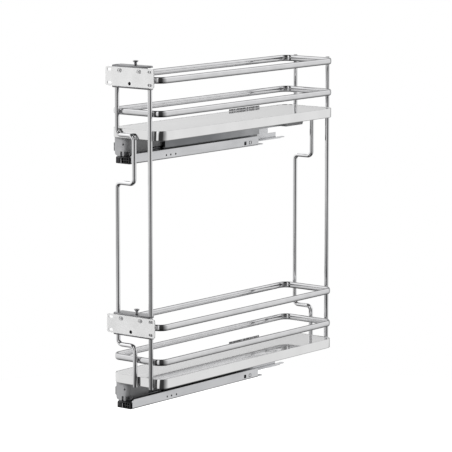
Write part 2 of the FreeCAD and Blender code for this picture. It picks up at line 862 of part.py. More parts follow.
def build_bracket(name, rail_z, over_rail):
    z = rail_z + over_rail
    left = posts_middle_x - bracket_width / 2
    right = posts_middle_x + bracket_width / 2
    front = plate_thickness
    rear = front + bracket_depth
    low = z - bracket_height / 2
    high = z + bracket_height / 2
    rail_y = basket_front + rail_thickness / 2
    outer = bracket_sheet + bracket_bend_inside
    section = [
        (rear, low, 0),
        (front, low, outer),
        (front, high, outer),
        (rear, high, 0),
        (rear, high - bracket_sheet, 0),
        (front + bracket_sheet, high - bracket_sheet, bracket_bend_inside),
        (front + bracket_sheet, low + bracket_sheet, bracket_bend_inside),
        (rear, low + bracket_sheet, 0),
    ]
    housing = prism(section, yz, left, right - left)
    corner = sharp([
        (right, rear - flange_corner_depth),
        (right, rear),
        (right - flange_corner_width, rear),
    ])
    housing = housing.cut(prism(corner, xy, low, bracket_height))
    for x in (left_post_x, right_post_x):
        housing = housing.cut(cylinder(x, front_post_y, low, along_z,
                                       post_radius + bracket_post_clearance, bracket_height))
    cut_left = right - bracket_web_cut
    housing = housing.cut(box(cut_left, right, front, front + bracket_sheet,
                              low + bracket_sheet, high - bracket_sheet))
    collar_top = high - bracket_sheet
    collar = cylinder(posts_middle_x, rail_y, collar_top - thread_collar_length, along_z,
                      thread_collar_radius, thread_collar_length)
    housing = housing.fuse(collar).removeSplitter()
    housing = housing.cut(cylinder(posts_middle_x, rail_y, z, along_z,
                                   height_screw_radius + thread_clearance, bracket_height))
    screw_z = z + plate_screw_above
    screw_xs = [plate_x - plate_screw_half_spacing, plate_x + plate_screw_half_spacing]
    for x in screw_xs:
        housing = housing.cut(cylinder(x, front, screw_z, along_y,
                                       plate_screw_radius + screw_clearance, bracket_sheet))
    access_z = z - access_hole_below
    housing = housing.cut(cylinder(plate_x, front, access_z, along_y, access_web_radius, bracket_sheet))
    export(name + "_bracket_housing", housing)

    half_width = plate_width / 2
    half_height = plate_height / 2
    r = plate_corner_radius
    corners = [
        (plate_x - half_width, z - half_height, r),
        (plate_x + half_width, z - half_height, r),
        (plate_x + half_width, z + half_height, r),
        (plate_x - half_width, z + half_height, r),
    ]
    plate = prism(corners, xz, 0, plate_thickness)
    for side in (-1, 1):
        for rise in (-1, 1):
            plate = plate.cut(slot(plate_x + side * door_slot_spacing_x / 2,
                                   z + rise * door_slot_spacing_z / 2,
                                   door_slot_radius, door_slot_length, 0, plate_thickness))
    for x in screw_xs:
        wide = plate_screw_head_radius + plate_screw_clearance
        narrow = plate_screw_radius + plate_screw_clearance
        plate = plate.cut(slot(x, screw_z, wide, 2 * (wide + side_adjust), 0, plate_pocket))
        plate = plate.cut(slot(x, screw_z, narrow, 2 * (narrow + side_adjust), 0, plate_thickness))
    plate = plate.cut(cylinder(plate_x, 0, access_z, along_y, access_hole_radius, plate_thickness))
    export(name + "_door_plate", plate)

    screws = []
    head_rear = plate_pocket - screw_clearance
    nut_front = front + bracket_sheet
    for x in screw_xs:
        head = cylinder(x, head_rear - plate_screw_head, screw_z, along_y,
                        plate_screw_head_radius, plate_screw_head)
        shank = cylinder(x, head_rear, screw_z, along_y, plate_screw_radius,
                         nut_front + plate_screw_nut - head_rear)
        nut = cylinder(x, nut_front, screw_z, along_y, plate_screw_head_radius, plate_screw_nut)
        screws.append(head.fuse([shank, nut]).removeSplitter())
    export(name + "_plate_screws", Part.makeCompound(screws))

    clamp_front = front + bracket_sheet + clamp_to_web
    clamp_down = bracket_height / 2 - bracket_sheet - height_adjust - height_adjust_margin
    clamp_up = clamp_down - thread_collar_length - height_adjust_margin
    clamp = box(posts_middle_x - clamp_width / 2, posts_middle_x + clamp_width / 2,
                clamp_front, clamp_front + clamp_depth, z - clamp_down, z + clamp_up)
    c = clamp_rail_clearance
    clamp = clamp.cut(box(posts_middle_x - clamp_width, posts_middle_x + clamp_width,
                          basket_front - c, basket_front + rail_thickness + c,
                          rail_z - rail_height / 2 - c, rail_z + rail_height / 2 + c))
    seat = z + height_screw_seat
    clamp = clamp.cut(cylinder(posts_middle_x, rail_y, seat, along_z,
                               height_screw_radius + thread_clearance, clamp_up))
    export(name + "_rail_clamp", clamp)

    head_z = z + height_screw_above
    stem_z = seat + screw_clearance
    stem = cylinder(posts_middle_x, rail_y, stem_z, along_z, height_screw_radius, head_z - stem_z)
    head = cylinder(posts_middle_x, rail_y, head_z, along_z, height_screw_head_radius, height_screw_head)
    screw = stem.fuse(head).removeSplitter()
    top = head_z + height_screw_head
    width = height_screw_slot
    across = height_screw_head_radius
    screw = screw.cut(box(posts_middle_x - across, posts_middle_x + across,
                          rail_y - width / 2, rail_y + width / 2, top - width, top))
    export(name + "_height_screw", screw)


# Build everything
coupler_screw_x = (coupler_left + coupler_right) / 2
tray_screw_places = [
    (coupler_screw_x, runner_front - coupler_screw_before_runner),
    (runner_x, runner_front + coupler_tongue_length + second_screw_behind_tongue),
    (runner_x, runner_front + runner_deep_length / 2),
    (runner_x, runner_front + runner_length - last_screw_before_runner_end),
]
build_basket("lower", lower_tray_z, lower_top_rail_z, tray_screw_places)
build_basket("upper", upper_tray_z, upper_top_rail_z, tray_screw_places)
build_name_plates()
build_posts()
build_slide("lower", lower_tray_z - slide_height, tray_screw_places)
build_slide("upper", upper_tray_z - slide_height, tray_screw_places)
export("tray_screws", tray_screws(tray_screw_places))
build_bracket("lower", lower_top_rail_z, lower_bracket_over_rail)
build_bracket("upper", upper_top_rail_z, upper_bracket_over_rail)
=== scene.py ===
import bpy
import bmesh
import math
from mathutils import Matrix, Vector


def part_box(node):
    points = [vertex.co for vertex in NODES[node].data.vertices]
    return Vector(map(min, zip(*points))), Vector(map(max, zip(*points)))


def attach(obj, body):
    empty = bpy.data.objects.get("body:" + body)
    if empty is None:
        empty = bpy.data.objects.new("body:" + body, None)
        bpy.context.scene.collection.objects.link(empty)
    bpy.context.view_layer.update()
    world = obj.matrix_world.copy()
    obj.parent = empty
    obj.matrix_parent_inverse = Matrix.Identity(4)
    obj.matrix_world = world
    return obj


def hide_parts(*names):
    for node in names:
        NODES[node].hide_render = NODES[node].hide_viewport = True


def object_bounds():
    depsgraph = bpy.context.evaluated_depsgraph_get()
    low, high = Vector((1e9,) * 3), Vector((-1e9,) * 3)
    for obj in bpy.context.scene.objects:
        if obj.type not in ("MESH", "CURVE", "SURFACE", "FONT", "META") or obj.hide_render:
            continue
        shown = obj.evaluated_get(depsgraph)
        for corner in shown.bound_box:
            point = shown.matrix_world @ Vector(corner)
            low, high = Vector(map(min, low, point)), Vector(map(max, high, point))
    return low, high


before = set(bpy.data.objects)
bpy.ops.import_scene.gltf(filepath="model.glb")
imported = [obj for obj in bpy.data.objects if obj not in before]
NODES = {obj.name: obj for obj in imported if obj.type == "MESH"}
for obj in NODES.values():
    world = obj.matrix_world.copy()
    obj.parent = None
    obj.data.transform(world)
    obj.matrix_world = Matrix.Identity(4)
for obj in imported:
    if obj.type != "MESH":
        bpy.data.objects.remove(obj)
cad_box = [list(corner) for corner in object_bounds()]
LEVELS = ("lower", "upper")
MM = 0.001
# Vertices nearer to each other than this are one vertex
SAME_PLACE = 0.01 * MM


# Shader nodes

# Sockets of a Mix node that take its two numbers, its two colours and give its colour
MIX_NUMBERS = (2, 3)
MIX_COLOURS = (6, 7)
MIX_COLOUR_OUT = 2


def connect(tree, socket, value):
    """Sets a number on a socket, or links an output to it."""
    if isinstance(value, (int, float)):
        socket.default_value = value
    else:
        tree.links.new(value, socket)


def object_coordinates(tree, scale=(1, 1, 1)):
    coordinates = tree.nodes.new("ShaderNodeTexCoord")
    mapping = tree.nodes.new("ShaderNodeMapping")
    mapping.inputs["Scale"].default_value = scale
    tree.links.new(coordinates.outputs["Object"], mapping.inputs["Vector"])
    return mapping.outputs["Vector"]


def noise(tree, scale, detail=4.0, stretch=(1, 1, 1)):
    node = tree.nodes.new("ShaderNodeTexNoise")
    node.inputs["Scale"].default_value = scale
    node.inputs["Detail"].default_value = detail
    tree.links.new(object_coordinates(tree, stretch), node.inputs["Vector"])
    return node.outputs["Fac"]


def ramp(tree, value, low, high, start=0.35, end=0.65):
    """Colour between low and high as the value goes from start to end."""
    node = tree.nodes.new("ShaderNodeValToRGB")
    node.color_ramp.elements[0].position = start
    node.color_ramp.elements[0].color = (*low, 1)
    node.color_ramp.elements[1].position = end
    node.color_ramp.elements[1].color = (*high, 1)
    tree.links.new(value, node.inputs["Fac"])
    return node.outputs["Color"]


def spread(tree, value, low, high, start=0.3, end=0.7, interpolation="LINEAR"):
    """Number between low and high as the value goes from start to end."""
    node = tree.nodes.new("ShaderNodeMapRange")
    node.interpolation_type = interpolation
    node.inputs["From Min"].default_value = start
    node.inputs["From Max"].default_value = end
    node.inputs["To Min"].default_value = low
    node.inputs["To Max"].default_value = high
    tree.links.new(value, node.inputs["Value"])
    return node.outputs["Result"]


def calculate(tree, operation, first, second=None):
    node = tree.nodes.new("ShaderNodeMath")
    node.operation = operation
    connect(tree, node.inputs[0], first)
    if second is not None:
        connect(tree, node.inputs[1], second)
    return node.outputs[0]


def agreement(tree, direction, other):
    """How far two directions agree, from -1 to 1."""
    node = tree.nodes.new("ShaderNodeVectorMath")
    node.operation = "DOT_PRODUCT"
    tree.links.new(direction, node.inputs[0])
    if isinstance(other, Vector):
        node.inputs[1].default_value = other
    else:
        tree.links.new(other, node.inputs[1])
    return node.outputs["Value"]


def choose(tree, test, no, yes):
    node = tree.nodes.new("ShaderNodeMix")
    node.data_type = "FLOAT"
    tree.links.new(test, node.inputs[0])
    for socket, value in zip(MIX_NUMBERS, (no, yes)):
        connect(tree, node.inputs[socket], value)
    return node.outputs[0]


def turning_to(tree, share, colour, fixed_colour):
    """The colour, turning to a fixed one as the share goes from 0 to 1."""
    node = tree.nodes.new("ShaderNodeMix")
    node.data_type = "RGBA"
    tree.links.new(share, node.inputs["Factor"])
    tree.links.new(colour, node.inputs[MIX_COLOURS[0]])
    node.inputs[MIX_COLOURS[1]].default_value = (*fixed_colour, 1)
    return node.outputs[MIX_COLOUR_OUT]


def bump(tree, shader, height, strength, distance):
    node = tree.nodes.new("ShaderNodeBump")
    node.inputs["Strength"].default_value = strength
    node.inputs["Distance"].default_value = distance
    tree.links.new(height, node.inputs["Height"])
    tree.links.new(node.outputs["Normal"], shader.inputs["Normal"])


# Materials

FINE_RELIEF = 0.1 * MM
MOULDED_RELIEF = 0.2 * MM
WEAR_SAMPLES = 4
# Grain drawn out along the slides
DRAWN_OUT = (1, 0.25, 1)


def material(name, **constants):
    """A Principled material; constants go straight on the shader's own sockets."""
    made = bpy.data.materials.new(name)
    made.use_nodes = True
    shader = made.node_tree.nodes["Principled BSDF"]
    for socket, value in constants.items():
        shader.inputs[socket.replace("_", " ")].default_value = value
    return made, made.node_tree, shader


def edge_wear_and_painted_line(tree, colour, edge_colour, amount, reach=0.6 * MM):
    """Mixes another colour in along the convex edges of a piece, broken up by fine noise: wear on the
    plastics and the door plates, a darker edge on the zinc, and a painted dark line along the rims of the
    chromed pan.
    """
    rounded = tree.nodes.new("ShaderNodeBevel")
    rounded.samples = WEAR_SAMPLES
    rounded.inputs["Radius"].default_value = reach
    shape = tree.nodes.new("ShaderNodeNewGeometry")
    flatness = agreement(tree, rounded.outputs["Normal"], shape.outputs["Normal"])
    edge = spread(tree, flatness, low=amount, high=0.0, start=0.90, end=0.995)
    patches = spread(tree, noise(tree, scale=260.0, detail=3.0), low=0.2, high=1.0, start=0.40, end=0.60)
    return turning_to(tree, calculate(tree, "MULTIPLY", edge, patches), colour, edge_colour)


def painted_dark_top_and_underside(tree, colour, painted_reflection_dark):
    """Turns to a dark colour where a surface leans up or down: painted dark reflections, for the dark lines
    along the rails.
    """
    shape = tree.nodes.new("ShaderNodeNewGeometry")
    parts = tree.nodes.new("ShaderNodeSeparateXYZ")
    tree.links.new(shape.outputs["Normal"], parts.inputs[0])
    upward = spread(tree, parts.outputs["Z"], low=0.0, high=1.0, start=0.42, end=0.80)
    downward = spread(tree, parts.outputs["Z"], low=1.0, high=0.0, start=-0.62, end=-0.14)
    return turning_to(tree, calculate(tree, "ADD", upward, downward), colour, painted_reflection_dark)


def metal(name, low, high, smooth, rough, grain, stretch=(1, 1, 1), relief=0.05, edge=None, painted_reflection_dark=None):
    """Plated or bare metal, clouded at the size of its grain."""
    made, tree, shader = material(name, Metallic=1.0)
    colour = ramp(tree, noise(tree, grain, 5.0, stretch), low, high)
    # On the chromed pan this edge colour is a painted dark line along its rims; the zinc turns darker along
    # its edges
    if edge:
        colour = edge_wear_and_painted_line(tree, colour, edge, amount=0.9, reach=1.0 * MM)
    # Painted dark reflections on the tops and undersides of the rails
    if painted_reflection_dark:
        colour = painted_dark_top_and_underside(tree, colour, painted_reflection_dark)
    tree.links.new(colour, shader.inputs["Base Color"])
    coarser = grain * 0.35
    finer = grain * 6
    smear = noise(tree, coarser, 3.0, stretch)
    tree.links.new(spread(tree, smear, smooth, rough), shader.inputs["Roughness"])
    bump(tree, shader, noise(tree, finer, 3.0, stretch), relief, FINE_RELIEF)
    return made


def plastic(name, low, high, roughness, edge, grain=900.0, relief=0.12):
    """Moulded plastic with wear along its edges and a fine texture."""
    made, tree, shader = material(name, IOR=1.49)
    varies = 0.06
    colour = ramp(tree, noise(tree, scale=40.0, detail=6.0), low, high)
    tree.links.new(edge_wear_and_painted_line(tree, colour, edge, amount=0.55), shader.inputs["Base Color"])
    tree.links.new(spread(tree, noise(tree, scale=120.0), roughness - varies, roughness + varies),
                   shader.inputs["Roughness"])
    bump(tree, shader, noise(tree, grain, 2.0), relief, MOULDED_RELIEF)
    return made


def laminate():
    """Pale glossy board in the trays: faint clouds under a smooth coat."""
    made, tree, shader = material("laminate", IOR=1.6, Metallic=0.4, Coat_Weight=1.0, Coat_Roughness=0.02)
    cloud = noise(tree, scale=14.0, detail=6.0)
    tree.links.new(ramp(tree, cloud, low=(0.60, 0.60, 0.605), high=(0.66, 0.66, 0.665)),
                   shader.inputs["Base Color"])
    tree.links.new(spread(tree, noise(tree, scale=45.0), low=0.05, high=0.09), shader.inputs["Roughness"])
    bump(tree, shader, noise(tree, scale=500.0, detail=2.0), 0.003, FINE_RELIEF)
    return made


def drawn_zinc():
    """Rolled steel, darker at its front end and lighter towards the rear: a painted reflection."""
    made, tree, shader = material("drawn_zinc", Metallic=1.0)
    place = tree.nodes.new("ShaderNodeSeparateXYZ")
    tree.links.new(object_coordinates(tree), place.inputs[0])
    # Painted reflection: the colour grows lighter from the front end towards the rear
    painted_reflection_rearward = spread(tree, place.outputs["Y"], low=0.0, high=1.0, start=20 * MM, end=120 * MM)
    clouds = spread(tree, noise(tree, 60.0, 4.0, DRAWN_OUT), low=-0.15, high=0.15)
    tree.links.new(ramp(tree, calculate(tree, "ADD", painted_reflection_rearward, clouds), low=(0.21, 0.215, 0.225),
                        high=(0.40, 0.405, 0.415), start=0.0, end=1.0),
                   shader.inputs["Base Color"])
    tree.links.new(spread(tree, noise(tree, scale=25.0), low=0.26, high=0.38), shader.inputs["Roughness"])
    bump(tree, shader, noise(tree, 420.0, 3.0, DRAWN_OUT), 0.15, FINE_RELIEF)
    return made


def plate_paint():
    """Satin light grey of the door plates, with a little wear at their edges."""
    made, tree, shader = material("plate_paint", IOR=1.5)
    colour = ramp(tree, noise(tree, scale=55.0, detail=6.0), low=(0.66, 0.66, 0.66), high=(0.71, 0.71, 0.71))
    tree.links.new(edge_wear_and_painted_line(tree, colour, (0.50, 0.50, 0.50), amount=0.5, reach=0.4 * MM),
                   shader.inputs["Base Color"])
    tree.links.new(spread(tree, noise(tree, scale=160.0), low=0.30, high=0.40), shader.inputs["Roughness"])
    bump(tree, shader, noise(tree, scale=1400.0, detail=2.0), 0.08, FINE_RELIEF)
    return made


def marked_strip():
    """Bright strip with a row of plain dark marks along its length."""
    made, tree, shader = material("marked_strip", Metallic=0.6)
    marks = noise(tree, 420.0, 2.0, (0.05, 1.0, 0.05))
    tree.links.new(ramp(tree, marks, low=(0.20, 0.20, 0.205), high=(0.62, 0.62, 0.63), start=0.50, end=0.58),
                   shader.inputs["Base Color"])
    tree.links.new(spread(tree, noise(tree, scale=90.0), low=0.22, high=0.34), shader.inputs["Roughness"])
    bump(tree, shader, marks, 0.25, FINE_RELIEF)
    return made


# The rails' tops and undersides are darkened with painted dark reflections.
rail_chrome = metal("rail_chrome", low=(0.71, 0.71, 0.72), high=(0.77, 0.77, 0.78), smooth=0.03, rough=0.08,
                    grain=60.0, relief=0.02, painted_reflection_dark=(0.22, 0.22, 0.225))
post_chrome = metal("post_chrome", low=(0.90, 0.90, 0.91), high=(0.95, 0.95, 0.96), smooth=0.02, rough=0.06,
                    grain=60.0, relief=0.02)
# The pan's dark edge colour is a painted dark line along its rims.
pan_chrome = metal("pan_chrome", low=(0.84, 0.84, 0.84), high=(0.88, 0.88, 0.88), smooth=0.03, rough=0.07,
                   grain=25.0, relief=0.02, edge=(0.30, 0.30, 0.31))
zinc = metal("zinc", low=(0.66, 0.665, 0.68), high=(0.74, 0.745, 0.76), smooth=0.24, rough=0.36,
             grain=70.0, stretch=DRAWN_OUT, relief=0.15, edge=(0.36, 0.36, 0.37))
dark_zinc = metal("dark_zinc", low=(0.22, 0.225, 0.235), high=(0.28, 0.285, 0.295), smooth=0.26, rough=0.38,
                  grain=70.0, stretch=DRAWN_OUT, relief=0.15)
ball_steel = metal("ball_steel", low=(0.66, 0.66, 0.67), high=(0.74, 0.74, 0.75), smooth=0.08, rough=0.16,
                   grain=300.0)
bracket_zinc = metal("bracket_zinc", low=(0.27, 0.27, 0.28), high=(0.34, 0.34, 0.35), smooth=0.30, rough=0.42,
                     grain=90.0, relief=0.1)
bright_zinc = metal("bright_zinc", low=(0.72, 0.72, 0.73), high=(0.80, 0.80, 0.81), smooth=0.22, rough=0.32,
                    grain=240.0, relief=0.1)
screw_zinc = metal("screw_zinc", low=(0.46, 0.46, 0.47), high=(0.58, 0.58, 0.59), smooth=0.20, rough=0.34,
                   grain=240.0, relief=0.1)

grey_plastic = plastic("grey_plastic", low=(0.33, 0.332, 0.34), high=(0.37, 0.372, 0.38), roughness=0.38,
                       edge=(0.42, 0.42, 0.43))
dark_plastic = plastic("dark_plastic", low=(0.085, 0.086, 0.09), high=(0.11, 0.111, 0.115), roughness=0.40,
                       edge=(0.17, 0.17, 0.175))
black_plastic = plastic("black_plastic", low=(0.010, 0.010, 0.011), high=(0.020, 0.020, 0.022),
                        roughness=0.32, edge=(0.06, 0.06, 0.062))
cage_plastic = plastic("cage_plastic", low=(0.56, 0.56, 0.53), high=(0.64, 0.64, 0.61), roughness=0.45,
                       edge=(0.70, 0.70, 0.67))

# Finish of each piece, by its name without the level. What isn't listed is chromed wire.
FINISHES = {
    "tray_board": laminate(), "tray_pan": pan_chrome, "cabinet_profile": zinc, "cabinet_rail": dark_zinc,
    "middle_profile": dark_zinc, "drawer_profile": drawn_zinc(), "inner_cage": cage_plastic,
    "outer_cage": cage_plastic, "inner_balls": ball_steel, "outer_balls": ball_steel,
    "damper_housing": grey_plastic, "damper_cylinder": black_plastic, "damper_rod": zinc,
    "closing_catch": black_plastic, "closing_spring": zinc, "front_coupler": grey_plastic,
    "adjusting_wheel": dark_plastic, "end_cap": black_plastic, "rear_clip": grey_plastic,
    "bracket_housing": bracket_zinc, "door_plate": plate_paint(), "plate_screws": screw_zinc,
    "rail_clamp": dark_zinc, "height_screw": screw_zinc,
}
SINGLE_FINISHES = {"name_plates": marked_strip(), "tray_screws": screw_zinc}


def finish_of(node):
    if node in SINGLE_FINISHES:
        return SINGLE_FINISHES[node]
    return FINISHES.get(node.split("_", 1)[1], post_chrome)


def dress(obj, finish):
    if not obj.material_slots:
        obj.data.materials.append(finish)
    for place in obj.material_slots:
        place.material = finish


for node_name, node in NODES.items():
    dress(node, finish_of(node_name))


# Softened edges of the cut, bent and moulded pieces

# Width of the rounds in millimetres, by the end of the piece's name
EDGE_WIDTHS = {
    "door_plate": 0.30, "bracket_housing": 0.30, "front_coupler": 0.40, "end_cap": 0.35, "tray_pan": 0.30,
    "tray_board": 0.40, "cabinet_profile": 0.30, "rear_clip": 0.50, "damper_housing": 0.30,
    "closing_catch": 0.40, "rail_clamp": 0.40, "drawer_profile": 0.25, "middle_profile": 0.25,
    "cabinet_rail": 0.25, "name_plates": 0.20, "left_post": 0.60, "right_post": 0.60,
}
SHARP_ABOVE = math.radians(38)
FLAT_WITHIN = math.radians(0.5)
# Pieces with wide flat faces
WHOLE_FACES = ("door_plate", "bracket_housing")


def soften(obj, width):
    """Small rounds on the sharp edges, as pressing and plating leave them."""
    weld = obj.modifiers.new("weld", "WELD")
    weld.merge_threshold = SAME_PLACE
    if obj.name.endswith(WHOLE_FACES):
        merge = obj.modifiers.new("whole faces", "DECIMATE")
        merge.decimate_type = "DISSOLVE"
        merge.angle_limit = FLAT_WITHIN
    bevel = obj.modifiers.new("rounds", "BEVEL")
    bevel.width = width * MM
    bevel.segments = 2
    bevel.limit_method = "ANGLE"
    bevel.angle_limit = SHARP_ABOVE
    bevel.use_clamp_overlap = True
    bevel.harden_normals = True


for node_name, node in NODES.items():
    for ending, width in EDGE_WIDTHS.items():
        if node_name.endswith(ending):
            soften(node, width)


# Mesh helpers

def ring(bm, radius, height, segments):
    turns = [2 * math.pi * i / segments for i in range(segments)]
    return [bm.verts.new((radius * math.cos(turn), radius * math.sin(turn), height)) for turn in turns]


def join_rings(bm, low, high):
    for i in range(len(low)):
        j = (i + 1) % len(low)
        bm.faces.new((low[i], low[j], high[j], high[i]))


def turned(bm, profile, segments):
    """Surface of revolution through (radius, height) pairs from low to high, closed below and open above."""
    rings = [ring(bm, radius, height, segments) for radius, height in profile]
    bm.faces.new(rings[0])
    for low, high in zip(rings, rings[1:]):
        join_rings(bm, low, high)
    return rings[-1]


def moved_part(bm, start, matrix):
    """Moves the vertices added since start."""
    bm.verts.ensure_lookup_table()
    bmesh.ops.transform(bm, matrix=matrix, verts=bm.verts[start:])


def piece_from(bm, name, node, body, finish):
    """Finished mesh that moves with a body and stands for a node, if one is given."""
    bmesh.ops.recalc_face_normals(bm, faces=bm.faces)
    for face in bm.faces:
        face.smooth = True
    for edge in bm.edges:
        if len(edge.link_faces) == 2 and edge.calc_face_angle(0.0) > SHARP_ABOVE:
            edge.smooth = False
    mesh = bpy.data.meshes.new(name)
    bm.to_mesh(mesh)
    bm.free()
    obj = bpy.data.objects.new(name, mesh)
    bpy.context.scene.collection.objects.link(obj)
    dress(obj, finish)
    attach(obj, body)
    if node:
        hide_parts(node)


def solids_of(node):
    """Lowest and highest corner of each separate solid in a node."""
    bm = bmesh.new()
    bm.from_mesh(NODES[node].data)
    bmesh.ops.remove_doubles(bm, verts=bm.verts, dist=SAME_PLACE)
    left = set(bm.verts)
    boxes = []
    while left:
        found = [left.pop()]
        for vert in found:
            for edge in vert.link_edges:
                other = edge.other_vert(vert)
                if other in left:
                    left.remove(other)
                    found.append(other)
        low = Vector(min(vert.co[axis] for vert in found) for axis in range(3))
        high = Vector(max(vert.co[axis] for vert in found) for axis in range(3))
        boxes.append((low, high))
    bm.free()
    return boxes


# Rails

RAIL_THICKNESS = 4.5 * MM
LOOP_RADIUS = 16.0 * MM
SECTION_POINTS = 32
# 2 is an ellipse, and more is fuller
SECTION_FULLNESS = 2.1
CORNER_STEPS = 16


def rounded_section(half_width, half_height):
    """Points round a section that is nearly an ellipse."""
    points = []
    for i in range(SECTION_POINTS):
        turn = 2 * math.pi * i / SECTION_POINTS
        across = math.copysign(abs(math.cos(turn)) ** (2 / SECTION_FULLNESS), math.cos(turn))
        up = math.copysign(abs(math.sin(turn)) ** (2 / SECTION_FULLNESS), math.sin(turn))
        points.append((half_width * across, half_height * up))
    return points


def crowned_rail(node):
    """Closed loop of crowned bar with rounded corners."""
    low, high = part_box(node)
    inset = RAIL_THICKNESS / 2
    bend = LOOP_RADIUS - inset
    middle = (low.z + high.z) / 2
    section = rounded_section(inset, (high.z - low.z) / 2)
    right, left = high.x - LOOP_RADIUS, low.x + LOOP_RADIUS
    rear, front = high.y - LOOP_RADIUS, low.y + LOOP_RADIUS
    bm = bmesh.new()
    rows = []
    for quarter, (x, y) in enumerate(((right, rear), (left, rear), (left, front), (right, front))):
        for step in range(CORNER_STEPS + 1):
            turn = (quarter + step / CORNER_STEPS) * math.pi / 2
            rows.append([bm.verts.new((x + (bend + out) * math.cos(turn), y + (bend + out) * math.sin(turn),
                                       middle + up)) for out, up in section])
    for i in range(len(rows)):
        join_rings(bm, rows[i - 1], rows[i])
    piece_from(bm, node + "_crowned", node, "carriage", rail_chrome)


# Screws

SCREW_SEGMENTS = 36
THREAD_SEGMENTS = 24
NUT_SIDES = 6
STEPS_IN_PITCH = 6
THREAD_PITCH = 0.8 * MM
THREAD_DEPTH = 0.42 * MM
RECESS_NARROWING = 0.6


def cross_recess(bm, rim, height, arm, reach, depth):
    """Closes a round top with a cross recess that narrows downwards."""
    plan = [(arm, arm), (arm, reach), (-arm, reach), (-arm, arm), (-reach, arm), (-reach, -arm),
            (-arm, -arm), (-arm, -reach), (arm, -reach), (arm, -arm), (reach, -arm), (reach, arm)]
    high = [bm.verts.new((x, y, height)) for x, y in plan]
    low = [bm.verts.new((x * RECESS_NARROWING, y * RECESS_NARROWING, height - depth)) for x, y in plan]
    edges = []
    for loop in (rim, high):
        for i in range(len(loop)):
            pair = (loop[i], loop[(i + 1) % len(loop)])
            edges.append(bm.edges.get(pair) or bm.edges.new(pair))
    bmesh.ops.triangle_fill(bm, use_beauty=True, edges=edges)
    join_rings(bm, high, low)
    bm.faces.new(low)


def threaded(bm, radius, low, high):
    """Rings of a stem with a helical thread, closed below and open above."""
    count = round((high - low) / THREAD_PITCH * STEPS_IN_PITCH)
    below = None
    for k in range(count + 1):
        height = low + (high - low) * k / count
        fade = min(1.0, k / STEPS_IN_PITCH, (count - k) / STEPS_IN_PITCH)
        row = []
        for i in range(THREAD_SEGMENTS):
            turn = 2 * math.pi * i / THREAD_SEGMENTS
            phase = (height / THREAD_PITCH - i / THREAD_SEGMENTS) % 1.0
            reach = radius - THREAD_DEPTH * (1 - fade + fade * abs(2 * phase - 1))
            row.append(bm.verts.new((reach * math.cos(turn), reach * math.sin(turn), height)))
        if below:
            join_rings(bm, below, row)
        else:
            bm.faces.new(row)
        below = row
    return below


def height_screw(level):
    """Countersunk screw on a threaded stem, head up."""
    node = level + "_height_screw"
    low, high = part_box(node)
    head = (high.x - low.x) / 2
    length = high.z - low.z
    seat = length - 3.0 * MM
    stem = 2.5 * MM
    thread_end_gap = 0.2 * MM
    rim_round = 0.5 * MM
    cone_end = seat + 1.3 * MM
    rim_start = seat + 1.7 * MM
    rim_end = seat + 2.5 * MM
    bm = bmesh.new()
    rim = threaded(bm, stem, 0.0, seat - thread_end_gap)
    for radius, height in ((stem, seat), (head - rim_round, cone_end), (head, rim_start), (head, rim_end),
                           (head - rim_round, length)):
        row = ring(bm, radius, height, THREAD_SEGMENTS)
        join_rings(bm, rim, row)
        rim = row
    cross_recess(bm, rim, length, arm=0.5 * MM, reach=2.3 * MM, depth=1.6 * MM)
    moved_part(bm, 0, Matrix.Translation(((low.x + high.x) / 2, (low.y + high.y) / 2, low.z)))
    piece_from(bm, level + "_height_screw_threaded", node, level + "_height_screw", screw_zinc)


def crossed_screw(bm, head, length, head_height, tip, dome):
    """Screw from its tip up to a domed head, open above.

    The tip is (radius, height) pairs, and the dome is (inset, depth below the top) pairs.
    """
    shank = tip[-1][0]
    under_head = length - head_height
    domed = tuple((head - inset, length - depth) for inset, depth in dome)
    return turned(bm, (*tip, (shank, under_head), (head, under_head), *domed), SCREW_SEGMENTS)


def plate_screws(level):
    """Screws that hold the door plate, each with its nut, heads to the front."""
    node = level + "_plate_screws"
    shank = 1.6 * MM
    chamfer = 0.3 * MM
    nut_start = 0.3 * MM
    nut_end = 1.4 * MM
    dome = ((0.0, 0.35 * MM), (0.15 * MM, 0.1 * MM), (0.45 * MM, 0.0))
    bm = bmesh.new()
    for low, high in solids_of(node):
        start = len(bm.verts)
        length = high.y - low.y
        head = (high.z - low.z) / 2
        bm.faces.new(turned(bm, ((head, nut_start), (head, nut_end)), NUT_SIDES))
        rim = crossed_screw(bm, head, length, head_height=0.75 * MM,
                            tip=((shank - chamfer, 0.0), (shank, chamfer)), dome=dome)
        cross_recess(bm, rim, length, arm=0.42 * MM, reach=1.75 * MM, depth=1.2 * MM)
        place = Vector(((low.x + high.x) / 2, high.y, (low.z + high.z) / 2))
        moved_part(bm, start, Matrix.Translation(place) @ Matrix.Rotation(math.radians(90), 4, "X"))
    piece_from(bm, level + "_plate_screws_crossed", node, level + "_bracket", bright_zinc)


def tray_screws():
    """Pointed screws that hold the slides under the trays, heads down."""
    shank = 1.75 * MM
    dome = ((0.0, 0.7 * MM), (0.4 * MM, 0.2 * MM), (1.0 * MM, 0.0))
    bm = bmesh.new()
    for low, high in solids_of("tray_screws"):
        start = len(bm.verts)
        length = high.z - low.z
        head = (high.x - low.x) / 2
        rim = crossed_screw(bm, head, length, head_height=1.5 * MM,
                            tip=((0.4 * shank, 0.0), (shank, 2 * shank)), dome=dome)
        cross_recess(bm, rim, length, arm=0.5 * MM, reach=1.9 * MM, depth=1.1 * MM)
        place = Vector(((low.x + high.x) / 2, (low.y + high.y) / 2, high.z))
        moved_part(bm, start, Matrix.Translation(place) @ Matrix.Rotation(math.radians(180), 4, "X"))
    piece_from(bm, "tray_screws_crossed", "tray_screws", "carriage", screw_zinc)


# Bright line in each end cap

CAP_EDGE_SIZE = (1.1 * MM, 1.6 * MM, 7.4 * MM)
# Its middle, from the lowest corner of the cap
CAP_EDGE_PLACE = (11.6 * MM, -0.1 * MM, 4.4 * MM)
CAP_EDGE_ROUND = 0.3 * MM


